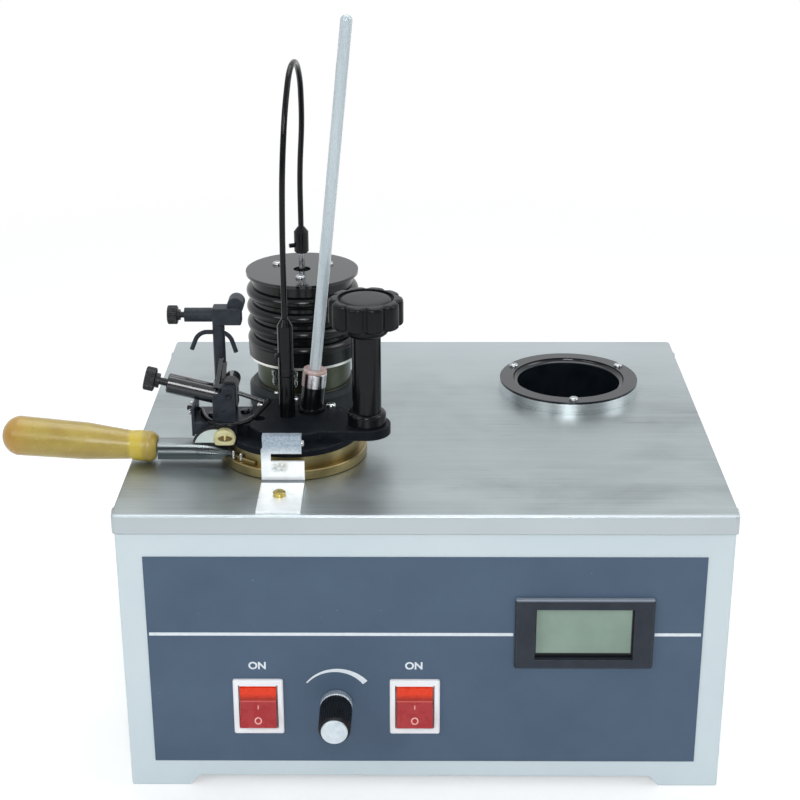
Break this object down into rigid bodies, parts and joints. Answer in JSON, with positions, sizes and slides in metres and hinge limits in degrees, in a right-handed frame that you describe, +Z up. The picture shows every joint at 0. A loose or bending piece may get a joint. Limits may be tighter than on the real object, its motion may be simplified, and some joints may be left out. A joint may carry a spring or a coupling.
{
  "type": "closed-cup flash point tester",
  "caption": "Bench-top closed-cup flash point tester: sheet-metal case with sloping controls, heated cup with stirred gas-jet cover, stirrer motor and round cooling well.",
  "frame": {"origin": "centre of the case footprint, on the bench", "axes": "+X to the right along the front panel, +Y away from the user, +Z up"},
  "size_m": [0.4268, 0.3158, 0.4363],
  "materials": {
    "case_paint": "fine texture, satin",
    "lid_steel": "brushed along X",
    "screw_steel": "bright",
    "panel_blue": "printed film, satin",
    "black_plastic": "satin",
    "meter_glass": "glossy grey-green display",
    "switch_frame": "glossy white",
    "rocker_red": "glossy translucent",
    "zinc_plate": "plated",
    "cap_aluminium": "turned",
    "board_green": "coated board",
    "black_enamel": "glossy",
    "ring_aluminium": "turned",
    "stove_brass": "turned, a little dull",
    "insulation": "mineral wool in a sheet can",
    "satin_black": "satin black",
    "olive_metal": "metallic olive lacquer",
    "gloss_black": "glossy",
    "bracket_steel": "galvanised",
    "cup_brass": "turned",
    "grip_yellow": "translucent amber",
    "dark_steel": "blackened, knurled",
    "thermo_glass": "milky white glass",
    "gauge_white": "white enamel with a black edge",
    "boss_cream": "cream ceramic look"
  },
  "bodies": {
    "base": {"case_shell": "case_paint", "base_plate": "case_paint", "top_plate": "lid_steel", "case_screws": "screw_steel", "panel_overlay": "panel_blue", "meter_bezel": "black_plastic", "meter_window": "meter_glass", "stir_switch_frame": "switch_frame", "power_switch_frame": "switch_frame", "control_pot": "zinc_plate", "mains_inlet": "black_plastic", "control_board": "board_green", "well_bowl": "black_enamel", "well_ring": "ring_aluminium", "stove_ring": "stove_brass", "heating_chamber": "ring_aluminium", "heater_band": "zinc_plate", "stove_jacket": "insulation", "motor_base": "satin_black", "motor_neck": "olive_metal", "motor_cover": "black_plastic", "motor_body": "zinc_plate", "motor_cover_disc": "gloss_black", "motor_disc_screws": "screw_steel", "latch_bracket": "bracket_steel", "latch_fasteners": "screw_steel"},
    "stir_switch": {"stir_rocker": "rocker_red"},
    "power_switch": {"power_rocker": "rocker_red"},
    "heat_control": {"heat_knob": "black_plastic", "heat_knob_cap": "cap_aluminium", "control_shaft": "zinc_plate"},
    "motor_rotor": {"motor_shaft": "zinc_plate"},
    "stirrer": {"stirrer_shaft": "screw_steel", "stirrer_coupling": "satin_black"},
    "motor_end": {"motor_coupling": "satin_black"},
    "cup": {"test_cup": "cup_brass", "cup_handle_bar": "bracket_steel", "cup_handle_grip": "grip_yellow"},
    "cover": {"cover_rim": "satin_black", "cover_plate": "satin_black", "cover_screws": "screw_steel", "operating_column": "satin_black", "return_spring": "zinc_plate", "stirrer_bush": "satin_black", "thermometer_socket": "satin_black", "burner_bracket": "satin_black", "gas_tube": "satin_black", "pilot_post": "satin_black", "pilot_valve_body": "satin_black", "gauge_disc": "gauge_white", "gauge_boss": "boss_cream", "flexible_shaft": "satin_black"},
    "knob": {"operating_knob": "black_plastic", "operating_spindle": "zinc_plate"},
    "shutter": {"cover_shutter": "zinc_plate"},
    "burner": {"burner_body": "satin_black"},
    "burner_screw": {"burner_thumb_screw": "dark_steel"},
    "pilot_screw": {"pilot_thumb_screw": "dark_steel"},
    "thermometer_body": {"thermometer": "thermo_glass", "thermometer_ferrule": "screw_steel"}
  },
  "joints": [
    {"name": "stir_switch", "type": "hinge", "parent": "base", "child": "stir_switch", "pos_m": [-0.0964, -0.1394, 0.05559], "axis": [1, 0, 0], "range_deg": [0, 18]},
    {"name": "power_switch", "type": "hinge", "parent": "base", "child": "power_switch", "pos_m": [-0.0056, -0.1394, 0.05559], "axis": [1, 0, 0], "range_deg": [0, 18]},
    {"name": "heat_knob", "type": "hinge", "parent": "base", "child": "heat_control", "pos_m": [-0.0511, -0.15, 0.0565], "axis": [0, 1, 0], "range_deg": [0, 300]},
    {"name": "stirrer_spin", "type": "hinge", "parent": "cover", "child": "stirrer", "pos_m": [-0.082, -0.0515, 0.2], "axis": [0, 0, 1], "continuous": true},
    {"name": "motor_spin", "type": "hinge", "parent": "base", "child": "motor_rotor", "pos_m": [-0.077, 0.034, 0.25], "axis": [0, 0, 1], "continuous": true},
    {"name": "motor_end_spin", "type": "hinge", "parent": "cover", "child": "motor_end", "pos_m": [-0.077, 0.034, 0.28], "axis": [0, 0, 1], "continuous": true},
    {"name": "cup_lift", "type": "slide", "parent": "base", "child": "cup", "axis": [0, 0, 1], "range_m": [0, 0.12]},
    {"name": "cover_lift", "type": "slide", "parent": "cup", "child": "cover", "axis": [0, 0, 1], "range_m": [0, 0.075]},
    {"name": "operating_knob", "type": "hinge", "parent": "cover", "child": "knob", "pos_m": [-0.034, -0.0624, 0.25], "axis": [0, 0, 1], "range_deg": [0, 60], "stiffness_Nm_per_rad": 0.08, "springref_deg": -20.05},
    {"name": "shutter_turn", "type": "hinge", "parent": "cover", "child": "shutter", "pos_m": [-0.082, -0.0515, 0.195], "axis": [0, 0, 1], "range_deg": [-22, 0]},
    {"name": "burner_tilt", "type": "hinge", "parent": "cover", "child": "burner", "pos_m": [-0.1159, -0.057, 0.2162], "axis": [0, 1, 0], "range_deg": [0, 25.5]},
    {"name": "burner_valve", "type": "hinge", "parent": "burner", "child": "burner_screw", "pos_m": [-0.1159, -0.057, 0.2149], "axis": [-0.9711, 0, 0.2385], "range_deg": [0, 720]},
    {"name": "pilot_valve", "type": "hinge", "parent": "cover", "child": "pilot_screw", "pos_m": [-0.14, -0.046, 0.2624], "axis": [-1, 0, 0], "range_deg": [0, 720]},
    {"name": "thermometer_lift", "type": "slide", "parent": "cover", "child": "thermometer_body", "axis": [0.1045, 0, 0.9945], "range_m": [0, 0.08]}
  ],
  "couplings": [
    {"joint": "motor_spin", "follows": "stirrer_spin", "ratio": -1},
    {"joint": "motor_end_spin", "follows": "stirrer_spin", "ratio": -1},
    {"joint": "shutter_turn", "follows": "operating_knob", "ratio": -0.35667},
    {"joint": "burner_tilt", "follows": "operating_knob", "ratio": 0.41667}
  ]
}
